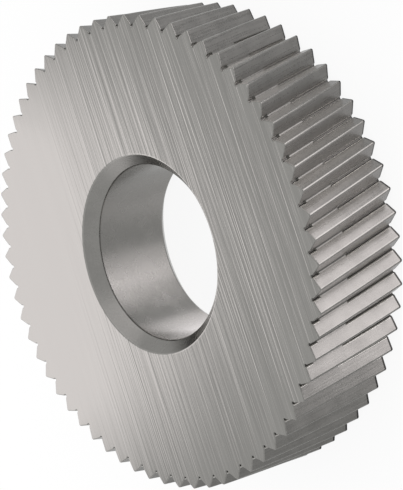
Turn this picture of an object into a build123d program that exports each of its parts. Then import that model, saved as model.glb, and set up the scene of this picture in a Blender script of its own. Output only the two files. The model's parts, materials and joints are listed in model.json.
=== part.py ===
from build123d import *
import os
from math import cos, degrees, pi, radians, sin, tan

# Knurling wheel: a flat hardened steel disc with fine helical V teeth round its rim and a plain
# bore, countersunk at both ends, that turns on the pin of a knurling tool.
# Millimetres, +Z along the axis. The wheel lies on its back face, with its front face up, and the
# origin is the centre of the back face.

# The blank
outside_diameter = 21.5       # over the crests of the teeth
face_width = 5.0
bore_diameter = 8.0
bore_countersink = 0.55       # depth of the 45 degree countersink at each end of the bore

# The teeth
tooth_count = 65              # with this diameter and helix, a knurl pitch of 1.0 mm
helix_angle = 15.0            # at the crests; left hand, so the teeth turn clockwise going up
groove_angle = 90.0           # between the flanks of two neighbouring teeth
crest_land = 0.08             # width of the blank's skin that is left on each tooth
root_land = 0.06              # width of the flat at the bottom of each groove

# The relief channel along the bottom of each groove, with bevelled lower corners. A short bridge
# near the front face is left uncut, so a channel runs in from each face.
channel_width = 0.13
channel_floor = 0.05          # width of its flat floor, between 45 degree corners
channel_depth = 0.08          # from the bottom of the groove to the floor
front_channel_length = 0.4
bridge_length = 1.7

# How far the cutters run past the surfaces that they cut through
overrun = 0.3

crest_radius = outside_diameter / 2
bore_radius = bore_diameter / 2
pitch_angle = 360 / tooth_count
twist_per_mm = degrees(tan(radians(helix_angle)) / crest_radius)

# Where the flanks meet the blank's skin, and the radius at which they end at the root flat
rim_half_angle = pi / tooth_count - crest_land / 2 / crest_radius
rim_x = crest_radius * cos(rim_half_angle)
rim_y = crest_radius * sin(rim_half_angle)
flank_slope = tan(radians(groove_angle / 2))
root_radius = rim_x - (rim_y - root_land / 2) / flank_slope

# The heights between which the channels leave their bridge
bridge_top = face_width - front_channel_length
bridge_bottom = bridge_top - bridge_length


def turned_blank():
    """The disc before its teeth are cut: half its section, turned about the axis."""
    mouth_radius = bore_radius + bore_countersink
    section = Polyline(
        (mouth_radius, 0, 0),
        (crest_radius, 0, 0),
        (crest_radius, 0, face_width),
        (mouth_radius, 0, face_width),
        (bore_radius, 0, face_width - bore_countersink),
        (bore_radius, 0, bore_countersink),
        close=True,
    )
    return revolve(make_face(section), axis=Axis.Z)


def vee_section():
    """The V between two teeth, drawn across +X and open past the rim."""
    clear_x = crest_radius + overrun
    root_y = root_land / 2
    clear_y = root_y + (clear_x - root_radius) * flank_slope
    outline = Polyline(
        (root_radius, -root_y),
        (clear_x, -clear_y),
        (clear_x, clear_y),
        (root_radius, root_y),
        close=True,
    )
    return make_face(outline).face()


def channel_section():
    """The relief channel across +X, carried up into the open V."""
    floor_x = root_radius - channel_depth
    floor_y = channel_floor / 2
    wall_y = channel_width / 2
    corner_x = floor_x + wall_y - floor_y
    mouth_x = root_radius + channel_width
    outline = Polyline(
        (floor_x, -floor_y),
        (corner_x, -wall_y),
        (mouth_x, -wall_y),
        (mouth_x, wall_y),
        (corner_x, wall_y),
        (floor_x, floor_y),
        close=True,
    )
    return make_face(outline).face()


def helical_cut(section, bottom, top):
    """Carries a section, drawn at the back face, along the helix from one height to another."""
    start = section.rotate(Axis.Z, -twist_per_mm * bottom).moved(Pos(0, 0, bottom))
    return Solid.extrude_linear_with_rotation(
        start,
        center=(0, 0, bottom),
        normal=(0, 0, top - bottom),
        angle=-twist_per_mm * (top - bottom),
    )


below, above = -overrun, face_width + overrun
groove = helical_cut(vee_section(), below, above)
groove += helical_cut(channel_section(), below, bridge_bottom)
groove += helical_cut(channel_section(), bridge_top, above)

grooves = [Rot(0, 0, pitch_angle * number) * groove for number in range(tooth_count)]
wheel = turned_blank() - grooves

os.makedirs("parts", exist_ok=True)
export_step(wheel, "parts/knurling_wheel.step")
print("wheel: %.2f mm3, root radius %.3f mm" % (wheel.volume, root_radius))
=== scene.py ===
import bpy
import json
import numpy as np
from math import acos, cos, pi, radians, sin, tan
from mathutils import Euler, Matrix, Vector


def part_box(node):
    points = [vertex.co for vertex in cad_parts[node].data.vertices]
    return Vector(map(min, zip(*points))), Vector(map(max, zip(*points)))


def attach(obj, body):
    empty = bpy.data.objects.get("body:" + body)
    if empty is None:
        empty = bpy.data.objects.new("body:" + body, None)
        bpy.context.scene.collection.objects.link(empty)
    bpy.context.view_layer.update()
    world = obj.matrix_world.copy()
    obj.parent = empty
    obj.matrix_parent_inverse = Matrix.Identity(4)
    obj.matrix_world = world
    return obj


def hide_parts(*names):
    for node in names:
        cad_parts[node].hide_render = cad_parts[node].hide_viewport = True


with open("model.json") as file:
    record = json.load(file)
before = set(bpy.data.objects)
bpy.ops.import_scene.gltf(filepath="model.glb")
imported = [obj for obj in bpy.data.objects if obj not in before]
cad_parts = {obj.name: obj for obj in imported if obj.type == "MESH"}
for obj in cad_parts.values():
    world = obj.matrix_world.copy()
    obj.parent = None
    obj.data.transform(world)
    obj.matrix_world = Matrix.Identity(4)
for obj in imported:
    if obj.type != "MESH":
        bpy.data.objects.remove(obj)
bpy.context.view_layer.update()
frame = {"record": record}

# A flat steel knurling wheel, lying on its back face on a white table. The sizes here are in
# millimetres, as on the part's drawing, and MM turns them into metres.
MM = 0.001
scene = bpy.context.scene
low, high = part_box("knurling_wheel")
bore_mount = next(m for m in frame["record"]["mounts"] if m["name"] == "bore")

# The blank, read from the frame
outside_diameter = (high.x - low.x) / MM
face_width = (high.z - low.z) / MM
bore_diameter = 2 * bore_mount["dims"]["r_mm"]
bore_countersink = (face_width - bore_mount["dims"]["length_mm"]) / 2

# The teeth, as on the drawing
tooth_count = 65
helix_angle = 15.0
groove_angle = 90.0
crest_land = 0.08
root_land = 0.06
channel_width = 0.13
channel_floor = 0.05
channel_depth = 0.08
front_channel_length = 0.4
bridge_length = 1.7

# The small roundings that every real edge has, and the other fine sizes of the visible shape
crest_rounding = 0.07
lip_rounding = 0.09           # at the mouths of the channels
channel_rounding = 0.02       # at the bottoms of the channels
end_rounding = 0.035          # round the ends of the teeth
outline_width = 0.11          # of the band of painted shade along their back ends
mouth_rounding = 0.12
throat_rounding = 0.18
ramp_length = 0.02            # the sloping end of each channel
crisp_margin = 0.015          # beside a sharp change, so that its shading stays there
face_margin = 0.3             # from the bottoms of the grooves to the faces' outer ring of points

# How finely the mesh follows the curves
rim_rounding_steps = 2
bore_rounding_steps = 3
bore_wall_steps = 5
back_channel_rings = 7
bridge_rings = 5
front_channel_rings = 2

# The camera, found from the tooth tips and the bore in the photograph
camera_azimuth = 97.09
camera_elevation = 40.79
camera_roll = 104.13
camera_distance = 93.54
camera_aim = (0.855, -0.051, 2.5)
camera_lens = 152.14
camera_sensor = 36.0

# The finish of the steel
brush_direction = -76.7       # of the streaks on the faces, from +X
smooth_side_x = -7.0          # the streaks are faint up to here
streaked_side_x = -2.0        # and at full strength from here
smooth_side_strength = 0.12
steel_tint = (1.018, 1.0, 0.95)

# How light each surface is, as a share of white
face_level = 0.248
teeth_level = 0.14
# The flanks that face clockwise: a little darker than the teeth, as painted shade
clockwise_shade_level = 0.13
# The crests: lighter, as a painted highlight
crest_highlight_level = 0.155
# The rounded front edges: lighter, as a painted highlight
front_edge_highlight_level = 0.21
bore_level = 0.176
countersink_level = 0.21
# The channels' floors: dark, as painted shade
channel_shade_level = 0.07
# The lips of the channels: light, as a painted highlight
lip_highlight_level = 0.4
# The band along the back ends and the channels' walls that face anticlockwise: dark, as painted shade
shade_band_level = 0.03

# How light a surface is where it is seen in the reflections of another
mirrored_level = 0.3
mirrored_flank_level = 0.42   # of the flanks that face clockwise, and of the lips with a painted highlight
mirrored_channel_level = 0.9
mirrored_teeth_level = 0.26

# How rough each surface is
flank_roughness = 0.31
dull_roughness = 0.4
crest_roughness = 0.2
lip_roughness = 0.35          # also of the front edges, which have a painted highlight

# The brushing and the grain
brush_depth = 0.008
grain_depth = 0.003
scratch_weight = 0.35         # of the long scratches beside the fine streaks
broad_weight = 1.5            # of the broad streaks beside the fine ones
face_variation = 0.06         # the share by which the level varies
ground_variation = 0.12
turned_variation = 0.06

# The table and the lamps
floor_reach = 0.6             # in metres, from the middle to each side
floor_colour = (0.85, 0.85, 0.85, 1.0)
floor_glow = 0.9              # the share of the floor's white that no shadow takes
lamp_colour = (1.0, 0.943, 0.969)
face_lamp_shares = (0.76, 0.88, 1.0, 1.12, 1.24)

crest_radius = outside_diameter / 2
bore_radius = bore_diameter / 2
pitch = 2 * pi / tooth_count
twist_per_mm = tan(radians(helix_angle)) / crest_radius
rim_half_angle = pitch / 2 - crest_land / 2 / crest_radius
rim_x = crest_radius * cos(rim_half_angle)
rim_y = crest_radius * sin(rim_half_angle)
flank_slope = tan(radians(groove_angle / 2))
root_radius = rim_x - (rim_y - root_land / 2) / flank_slope
bridge_top = face_width - front_channel_length
bridge_bottom = bridge_top - bridge_length

# The columns of faces in a groove, counted from the middle of its floor
last_floor_column = 2
last_wall_column = 6
last_lip_column = 8
flank_column = 9


def rounded(points, radii, steps):
    """A flat outline with an arc of its own radius at each corner; a radius of 0 keeps the point."""
    outline = []
    last = len(points) - 1
    for number, (point, radius) in enumerate(zip(points, radii)):
        here = Vector(point)
        if radius == 0 or number in (0, last):
            outline.append(here)
            continue
        back = (Vector(points[number - 1]) - here).normalized()
        ahead = (Vector(points[number + 1]) - here).normalized()
        half = acos(max(-1.0, min(1.0, back.dot(ahead)))) / 2
        centre = here + (back + ahead).normalized() * radius / sin(half)
        start = here + back * radius / tan(half) - centre
        end = here + ahead * radius / tan(half) - centre
        sweep = pi - 2 * half
        for step in range(steps + 1):
            turn = sweep * step / steps
            spoke = (start * sin(sweep - turn) + end * sin(turn)) / sin(sweep)
            outline.append(centre + spoke)
    return outline


def spread_along(points, count):
    """The same number of points spread evenly along a flat outline."""
    points = [Vector(p) for p in points]
    runs = [(b - a).length for a, b in zip(points, points[1:])]
    spread = []
    for number in range(count):
        rest = sum(runs) * number / (count - 1)
        place = 0
        while place < len(runs) - 1 and rest > runs[place]:
            rest -= runs[place]
            place += 1
        spread.append(points[place].lerp(points[place + 1], rest / runs[place]))
    return spread


def groove_sections():
    """From the middle of one crest to the next: the groove with its channel, and with its bridge."""
    crest_middle = (crest_radius * cos(pitch / 2), crest_radius * sin(pitch / 2))
    lip_y = channel_width / 2
    lip_x = root_radius + (lip_y - root_land / 2) / flank_slope
    floor_x = root_radius - channel_depth
    floor_y = channel_floor / 2
    corner_x = floor_x + lip_y - floor_y
    crest = rounded(
        [crest_middle, (rim_x, rim_y), (lip_x, lip_y)],
        [0, crest_rounding, 0],
        rim_rounding_steps,
    )[:-1]
    channel = rounded(
        [(rim_x, rim_y), (lip_x, lip_y), (corner_x, lip_y), (floor_x, floor_y), (floor_x, -floor_y)],
        [0, lip_rounding, channel_rounding, channel_rounding, 0],
        rim_rounding_steps,
    )[1:-1]
    lip = channel[0]
    root_y = root_land / 2
    bottom = [lip, (root_radius, root_y), (root_radius, -root_y), (lip.x, -lip.y)]
    bridge = spread_along(bottom, 2 * len(channel))

    def mirrored(points):
        return [Vector((p.x, -p.y)) for p in points]

    left = mirrored(crest)
    right = crest[:0:-1]
    with_channel = left + mirrored(channel) + channel[::-1] + right
    with_bridge = left + bridge[::-1] + right
    return [np.array([tuple(p) for p in s]) for s in (with_channel, with_bridge)]


def toothed_ring(section, height, inset=0.0):
    """The whole rim's outline at one height, moved into the metal by an inset."""
    radius = np.hypot(section[:, 0], section[:, 1])
    angle = np.arctan2(section[:, 1], section[:, 0])
    turns = np.repeat(np.arange(tooth_count) * pitch, len(section))
    angles = np.tile(angle, tooth_count) + turns - twist_per_mm * height
    radii = np.tile(radius, tooth_count)
    flat = np.column_stack([radii * np.cos(angles), radii * np.sin(angles)])
    if inset:
        ahead = np.roll(flat, -1, axis=0) - flat
        ahead /= np.linalg.norm(ahead, axis=1)[:, None]
        inward = np.column_stack([-ahead[:, 1], ahead[:, 0]])
        middle = inward + np.roll(inward, 1, axis=0)
        middle /= np.linalg.norm(middle, axis=1)[:, None]
        reach = inset / (middle * inward).sum(axis=1)
        flat = flat + middle * reach[:, None]
    return np.column_stack([flat, np.full(len(flat), height)])


def round_ring(radius, height, count):
    """A plain circle with as many points as the rim."""
    first = -pitch / 2 - twist_per_mm * height
    angles = first + np.arange(count) * 2 * pi / count
    return np.column_stack([radius * np.cos(angles), radius * np.sin(angles), np.full(count, height)])


def crisp_heights(bottom, top, count):
    """Heights spread over a run, with one more close to each of its ends."""
    return [bottom, *np.linspace(bottom + crisp_margin, top - crisp_margin, count), top]


def rim_rings():
    """The toothed rim from the back face up to the front face, with its ends rounded."""
    with_channel, with_bridge = groove_sections()
    turns = [radians(90), radians(45), 0]
    ends = [(end_rounding * (1 - cos(t)), end_rounding * (1 - sin(t))) for t in turns]
    back_run = [outline_width, *crisp_heights(outline_width, bridge_bottom, back_channel_rings)[2:]]
    bridge_run = crisp_heights(bridge_bottom + ramp_length, bridge_top - ramp_length, bridge_rings)
    front_run = crisp_heights(bridge_top, face_width - end_rounding, front_channel_rings)[:-1]
    rings = [toothed_ring(with_channel, depth, inset) for inset, depth in ends]
    rings += [toothed_ring(with_channel, height) for height in back_run]
    rings += [toothed_ring(with_bridge, height) for height in bridge_run]
    rings += [toothed_ring(with_channel, height) for height in front_run]
    rings += [toothed_ring(with_channel, face_width - depth, inset) for inset, depth in ends[::-1]]
    return rings


def turned_rings(count):
    """The faces and the bore, from the front face's outer edge down to the back face's."""
    mouth_radius = bore_radius + bore_countersink
    face_edge = root_radius - face_margin
    throat = face_width - bore_countersink
    points = [(face_edge, face_width), (mouth_radius, face_width), (bore_radius, throat)]
    points += [(radius, face_width - height) for radius, height in points[::-1]]
    radii = [0, mouth_rounding, throat_rounding, throat_rounding, mouth_rounding, 0]
    outline = rounded(points, radii, bore_rounding_steps)
    half = len(outline) // 2
    top, bottom = outline[half - 1], outline[half]
    wall = [top.lerp(bottom, step / bore_wall_steps) for step in range(1, bore_wall_steps)]
    outline = outline[:half] + wall + outline[half:]
    return [round_ring(p.x, p.y, count) for p in outline]


def flat_led_normals(points, faces):
    """Each point's normal, led by its largest faces, so that a flat stays flat beside a rounding."""
    corners = points[faces]
    normals = np.cross(corners[:, 2] - corners[:, 0], corners[:, 3] - corners[:, 1])
    normals *= np.linalg.norm(normals, axis=1)[:, None]
    total = np.zeros_like(points)
    for corner in faces.T:
        np.add.at(total, corner, normals)
    return total / np.linalg.norm(total, axis=1)[:, None]


def make_wheel():
    """One closed skin: every ring joins the next, and the last one joins the first."""
    rim = rim_rings()
    count = len(rim[0])
    turned = turned_rings(count)
    rings = rim + turned
    total = len(rings)
    this = np.arange(count)
    following = np.roll(this, -1)
    faces = []
    for number in range(total):
        lower = number * count
        upper = (number + 1) % total * count
        corners = [lower + this, lower + following, upper + following, upper + this]
        faces.append(np.column_stack(corners))
    points, faces = np.vstack(rings), np.vstack(faces)
    mesh = bpy.data.meshes.new("wheel_body")
    mesh.from_pydata((points * MM).tolist(), [], faces.tolist())
    mesh.shade_smooth()
    mesh.normals_split_custom_set_from_vertices(flat_led_normals(points, faces).tolist())
    finishes = np.vstack([rim_finish(rim, count), turned_finish(turned, count)])
    mesh.polygons.foreach_set("material_index", finishes.ravel().astype(np.int32))
    wheel = bpy.data.objects.new("wheel_body", mesh)
    scene.collection.objects.link(wheel)
    return wheel


# The finishes, in the order of the wheel's materials
TEETH, FACE, BORE, COUNTERSINK, SHADED_CHANNEL, PAINTED_SHADE_BAND, HIGHLIT_CREST, HIGHLIT_LIP, CLOCKWISE, HIGHLIT_FRONT_EDGE = range(10)


def rim_finish(rim, count):
    """The finish of each face between the rings of the rim.

    The band along the back ends, the channels' floors and their walls that face anticlockwise are
    painted shade; the crests, lips and front edges are painted highlights, and the clockwise flanks a
    slight painted shade.
    """
    section = count // tooth_count
    column = np.arange(count) % section
    side = column - (section - 1) / 2
    from_floor = abs(side)
    finishes = []
    for lower, upper in zip(rim, rim[1:]):
        height = (lower[0, 2] + upper[0, 2]) / 2
        band = np.full(count, TEETH)
        # The flanks that face clockwise are set a little darker: painted shade.
        band[side > 0] = CLOCKWISE
        # The crests are set lighter: a painted highlight.
        band[from_floor > flank_column] = HIGHLIT_CREST
        if not bridge_bottom < height < bridge_top:
            # The lips on the anticlockwise side are set light: a painted highlight.
            band[(side < 0) & (side >= -last_lip_column)] = HIGHLIT_LIP
            # The channels' walls that face anticlockwise are set dark: painted shade.
            band[(side < 0) & (side >= -last_wall_column)] = PAINTED_SHADE_BAND
            # The channels' floors are set dark: painted shade.
            band[from_floor <= last_floor_column] = SHADED_CHANNEL
        # A band along the back ends is set dark: painted shade.
        if height < outline_width:
            band[:] = PAINTED_SHADE_BAND
        # The rounded front edges are set light: a painted highlight.
        if height > face_width - end_rounding:
            band[:] = HIGHLIT_FRONT_EDGE
        finishes.append(band)
    return np.array(finishes)


def turned_finish(turned, count):
    """The finish of each band of the end faces and the bore, by the radius of its middle."""
    mouth = bore_radius + bore_countersink - mouth_rounding / 2
    throat = bore_radius + throat_rounding / 8
    radii = np.array([np.hypot(*ring[0, :2]) for ring in turned])
    middles = (radii[1:] + radii[:-1]) / 2
    bands = np.where(middles > mouth, FACE, np.where(middles > throat, COUNTERSINK, BORE))
    bands = np.array([FACE, *bands, FACE])
    return np.repeat(bands[:, None], count, axis=1)


def clear_tree(owner):
    owner.use_nodes = True
    owner.node_tree.nodes.clear()
    return owner.node_tree


def add(tree, kind, *values, **named):
    """A new shader node; gives its first output. Each value is a number to set or a socket to link."""
    node = tree.nodes.new("ShaderNode" + kind)
    for place, value in [*enumerate(values), *named.items()]:
        if isinstance(place, str) and hasattr(node, place):
            setattr(node, place, value)
            continue
        socket = node.inputs[place.replace("_", " ") if isinstance(place, str) else place]
        if isinstance(value, bpy.types.NodeSocket):
            tree.links.new(value, socket)
        else:
            socket.default_value = value
    return node.outputs[0] if node.outputs else None


def calculate(tree, operation, *values):
    return add(tree, "Math", *values, operation=operation)


def separate(tree, vector):
    """The three parts of a vector."""
    return add(tree, "SeparateXYZ", vector).node.outputs


def dot_product(tree, first, second):
    node = add(tree, "VectorMath", first, tuple(second), operation="DOT_PRODUCT").node
    return node.outputs["Value"]


def ramp(tree, value, start, end, low_value=0.0, high_value=1.0):
    """A value's smooth rise from one level to another."""
    levels = (start, end, low_value, high_value)
    return add(tree, "MapRange", value, *levels, interpolation_type="SMOOTHSTEP")


def blend(tree, factor, first, second):
    """A colour between two others."""
    node = add(tree, "Mix", factor, data_type="RGBA").node
    for name, value in (("A_Color", first), ("B_Color", second)):
        socket = next(s for s in node.inputs if s.identifier == name)
        if isinstance(value, bpy.types.NodeSocket):
            tree.links.new(value, socket)
        else:
            socket.default_value = value
    return next(s for s in node.outputs if s.identifier == "Result_Color")


def noise(tree, place, scale, detail=3.0, roughness=0.6, **named):
    return add(tree, "TexNoise", **named, Vector=place, Scale=scale, Detail=detail, Roughness=roughness)


def drawn_out(tree, place, length, width, detail=2.0):
    """Noise drawn out along the brushing, into streaks of a length and a width in millimetres."""
    along = Vector((cos(radians(brush_direction)), sin(radians(brush_direction)), 0))
    across = Vector((-along.y, along.x, 0))
    run = dot_product(tree, place, along / length)
    side = dot_product(tree, place, across / width)
    flat = add(tree, "CombineXYZ", run, side)
    return noise(tree, flat, 1.0, detail, noise_dimensions="2D")


def shade(level):
    return (*[level * part for part in steel_tint], 1.0)


def speckled(tree, level, spread, tone):
    """A steel colour that varies by a share of its level."""
    return blend(tree, tone, shade(level * (1 - spread)), shade(level * (1 + spread)))


def steel(name, finish, *values, mirrored=mirrored_level):
    """A steel surface. Its finish gives a colour, a roughness, and a relief with its depth in mm."""
    material = bpy.data.materials.new(name)
    tree = clear_tree(material)
    texture = add(tree, "TexCoord").node
    place = add(tree, "VectorMath", texture.outputs["Object"], operation="SCALE", Scale=1 / MM)
    colour, roughness, height, depth = finish(tree, place, *values)
    bump = add(tree, "Bump", Height=height, Distance=depth * MM, Strength=1.0)
    in_reflections = add(tree, "LightPath").node.outputs["Is Glossy Ray"]
    colour = blend(tree, in_reflections, colour, shade(mirrored))
    shader = add(
        tree,
        "BsdfPrincipled",
        Base_Color=colour,
        Metallic=1.0,
        Roughness=roughness,
        Normal=bump,
    )
    add(tree, "OutputMaterial", shader)
    return material


def brushed(tree, place):
    """Fine straight streaks in one direction, with a few longer scratches, fainter on one side."""
    x = separate(tree, place)[0]
    strength = ramp(tree, x, smooth_side_x, streaked_side_x, smooth_side_strength, 1.0)
    fine = drawn_out(tree, place, length=12.0, width=0.12, detail=3.0)
    broad = drawn_out(tree, place, length=30.0, width=1.1)
    scratches = drawn_out(tree, place, length=25.0, width=0.25, detail=1.0)
    scratches = ramp(tree, scratches, 0.56, 0.66)
    height = calculate(tree, "MULTIPLY_ADD", scratches, scratch_weight, fine)
    height = calculate(tree, "MULTIPLY_ADD", broad, broad_weight, height)
    height = calculate(tree, "MULTIPLY", height, strength)
    tone = ramp(tree, calculate(tree, "ADD", fine, broad), 0.7, 1.3, -0.5, 0.5)
    tone = calculate(tree, "MULTIPLY_ADD", tone, strength, 0.5)
    roughness = ramp(tree, fine, 0.35, 0.65, 0.08, 0.14)
    return speckled(tree, face_level, face_variation, tone), roughness, height, brush_depth


def along_grooves(tree, place, length, width):
    """Noise drawn out into streaks that run along the grooves."""
    x, y, z = separate(tree, place)
    turn = calculate(tree, "ARCTAN2", y, x)
    turn = calculate(tree, "MULTIPLY_ADD", z, twist_per_mm, turn)
    around = calculate(tree, "MULTIPLY", turn, crest_radius / width)
    across = add(tree, "CombineXYZ", x, y)
    radius = add(tree, "VectorMath", across, operation="LENGTH").node.outputs["Value"]
    outward = calculate(tree, "MULTIPLY", radius, 1 / width)
    run = calculate(tree, "MULTIPLY", z, 1 / length)
    return noise(tree, add(tree, "CombineXYZ", around, outward, run), 1.0, 2.0, 0.5)


def ground(tree, place, level, roughness):
    """A fine matt grain and faint grinding lines along the grooves, under faint broad patches."""
    grain = noise(tree, place, 14.0)
    patches = noise(tree, place, 1.2, 2.0)
    lines = along_grooves(tree, place, length=3.0, width=0.08)
    height = calculate(tree, "ADD", grain, lines)
    tone = ramp(tree, calculate(tree, "ADD", height, patches), 1.1, 1.9)
    rough = ramp(tree, height, 0.7, 1.3, roughness - 0.05, roughness + 0.05)
    return speckled(tree, level, ground_variation, tone), rough, height, grain_depth


def turned(tree, place, level):
    """The smoother grain of the bore and its countersinks."""
    grain = noise(tree, place, 12.0)
    patches = noise(tree, place, 0.8, 2.0)
    tone = ramp(tree, calculate(tree, "ADD", grain, patches), 0.7, 1.3)
    roughness = ramp(tree, patches, 0.3, 0.7, 0.24, 0.3)
    return speckled(tree, level, turned_variation, tone), roughness, grain, grain_depth


def make_camera():
    data = bpy.data.cameras.new("camera")
    data.lens = camera_lens
    data.sensor_width = camera_sensor
    data.clip_start = 0.001
    data.clip_end = 10
    camera = bpy.data.objects.new("camera", data)
    scene.collection.objects.link(camera)
    turn = Euler((radians(90 - camera_elevation), 0, radians(camera_azimuth)), "XYZ").to_matrix()
    roll = Matrix.Rotation(-radians(camera_roll), 3, "Z")
    camera.location = (Vector(camera_aim) + turn @ Vector((0, 0, camera_distance))) * MM
    camera.rotation_euler = (turn @ roll).to_euler()
    scene.camera = camera


def make_floor():
    """A white table. Most of its white is its own, so the wheel's shadow on it is faint."""
    mesh = bpy.data.meshes.new("floor")
    reach = floor_reach
    corners = [(-reach, -reach, 0), (reach, -reach, 0), (reach, reach, 0), (-reach, reach, 0)]
    mesh.from_pydata(corners, [], [(0, 1, 2, 3)])
    floor = bpy.data.objects.new("floor", mesh)
    scene.collection.objects.link(floor)
    floor.location.z = low.z
    floor.visible_glossy = False
    floor.visible_shadow = False
    material = bpy.data.materials.new("floor")
    tree = clear_tree(material)
    path = add(tree, "LightPath").node
    seen = calculate(tree, "MAXIMUM", path.outputs["Is Camera Ray"], path.outputs["Is Glossy Ray"])
    seen = calculate(tree, "MAXIMUM", seen, path.outputs["Is Transmission Ray"])
    share = calculate(tree, "MULTIPLY", seen, floor_glow)
    lit = add(tree, "BsdfDiffuse", Color=floor_colour)
    glow = add(tree, "Emission", Strength=1.0)
    add(tree, "OutputMaterial", add(tree, "MixShader", share, lit, glow))
    mesh.materials.append(material)


def make_room():
    """A plain white room round the table."""
    world = bpy.data.worlds.new("studio")
    scene.world = world
    tree = clear_tree(world)
    white = add(tree, "Background", Color=(1.0, 1.0, 1.0, 1.0), Strength=1.0)
    add(tree, "OutputWorld", white)


def softbox(name, azimuth, elevation, distance, size, brightness, aim=(0.0, 0.0, 0.0)):
    """An oval lamp that faces its aim. A brightness of 1 adds as much as the white room shows there."""
    data = bpy.data.lights.new(name, "AREA")
    data.shape = "ELLIPSE"
    data.size, data.size_y = [length * MM for length in size]
    data.energy = brightness * pi * (pi / 4 * data.size * data.size_y)
    data.color = lamp_colour
    lamp = bpy.data.objects.new(name, data)
    scene.collection.objects.link(lamp)
    around = Matrix.Rotation(radians(azimuth), 3, "Z")
    upward = Matrix.Rotation(-radians(elevation), 3, "Y")
    direction = around @ upward @ Vector((1, 0, 0))
    lamp.location = (Vector(aim) + direction * distance) * MM
    lamp.rotation_euler = direction.to_track_quat("Z", "Y").to_euler()
    return lamp


make_camera()
make_floor()
make_room()
wheel = make_wheel()
finishes = (
    steel("ground_teeth", ground, teeth_level, flank_roughness, mirrored=mirrored_teeth_level),
    steel("brushed_face", brushed),
    steel("turned_bore", turned, bore_level),
    steel("turned_countersink", turned, countersink_level),
    # Painted shade in the channels' floors
    steel("painted_shade_channel", ground, channel_shade_level, dull_roughness, mirrored=mirrored_channel_level),
    # Painted shade along the back ends and on the channels' walls that face anticlockwise
    steel("painted_shade_band", ground, shade_band_level, dull_roughness),
    # Painted highlight on the crests
    steel("painted_highlight_crests", ground, crest_highlight_level, crest_roughness),
    # Painted highlight on the lips of the channels
    steel("painted_highlight_lips", ground, lip_highlight_level, lip_roughness, mirrored=mirrored_flank_level),
    # Slight painted shade on the flanks that face clockwise
    steel("painted_shade_clockwise_flanks", ground, clockwise_shade_level, flank_roughness, mirrored=mirrored_flank_level),
    # Painted highlight on the rounded front edges
    steel("painted_highlight_front_edges", ground, front_edge_highlight_level, lip_roughness),
)
for finish in finishes:
    wheel.data.materials.append(finish)
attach(wheel, "root")
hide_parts("knurling_wheel")

# Ovals one behind another light the front face, so that their light on it fades in small steps
for step, share in enumerate(face_lamp_shares):
    softbox(
        "face_softbox",
        azimuth=-174,
        elevation=34.0,
        distance=30 + step,
        size=(29.5 * share, 26 * share),
        brightness=0.285,
        aim=(-12.5, -1.4, 5),
    )

# Lamps below the table, which casts no shadow, light the flanks of the teeth
softbox("table_softbox", azimuth=46, elevation=-21, distance=80, size=(122, 46), brightness=3.3)
softbox("wide_softbox", azimuth=45, elevation=-18, distance=80, size=(300, 60), brightness=0.4)
softbox("low_softbox", azimuth=18, elevation=-40, distance=80, size=(58, 22), brightness=1.2)
softbox("under_softbox", azimuth=-62, elevation=-61, distance=80, size=(60, 60), brightness=0.4)

# Two small close lamps light the bore
softbox(
    "bore_softbox",
    azimuth=132,
    elevation=-41,
    distance=16,
    size=(10.5, 8),
    brightness=1.55,
    aim=(-1.4, -3.8, 2.5),
)
softbox(
    "inner_softbox",
    azimuth=-82,
    elevation=-41,
    distance=20,
    size=(14, 10),
    brightness=0.17,
    aim=(-3.2, 2.5, 2.5),
)

# Broad faint lamps stand at the side and the rear
softbox("side_softbox", azimuth=80, elevation=37, distance=80, size=(80, 60), brightness=0.5)
softbox("rear_softbox", azimuth=-130, elevation=6, distance=80, size=(90, 60), brightness=0.45)
scene.view_settings.view_transform = "Standard"
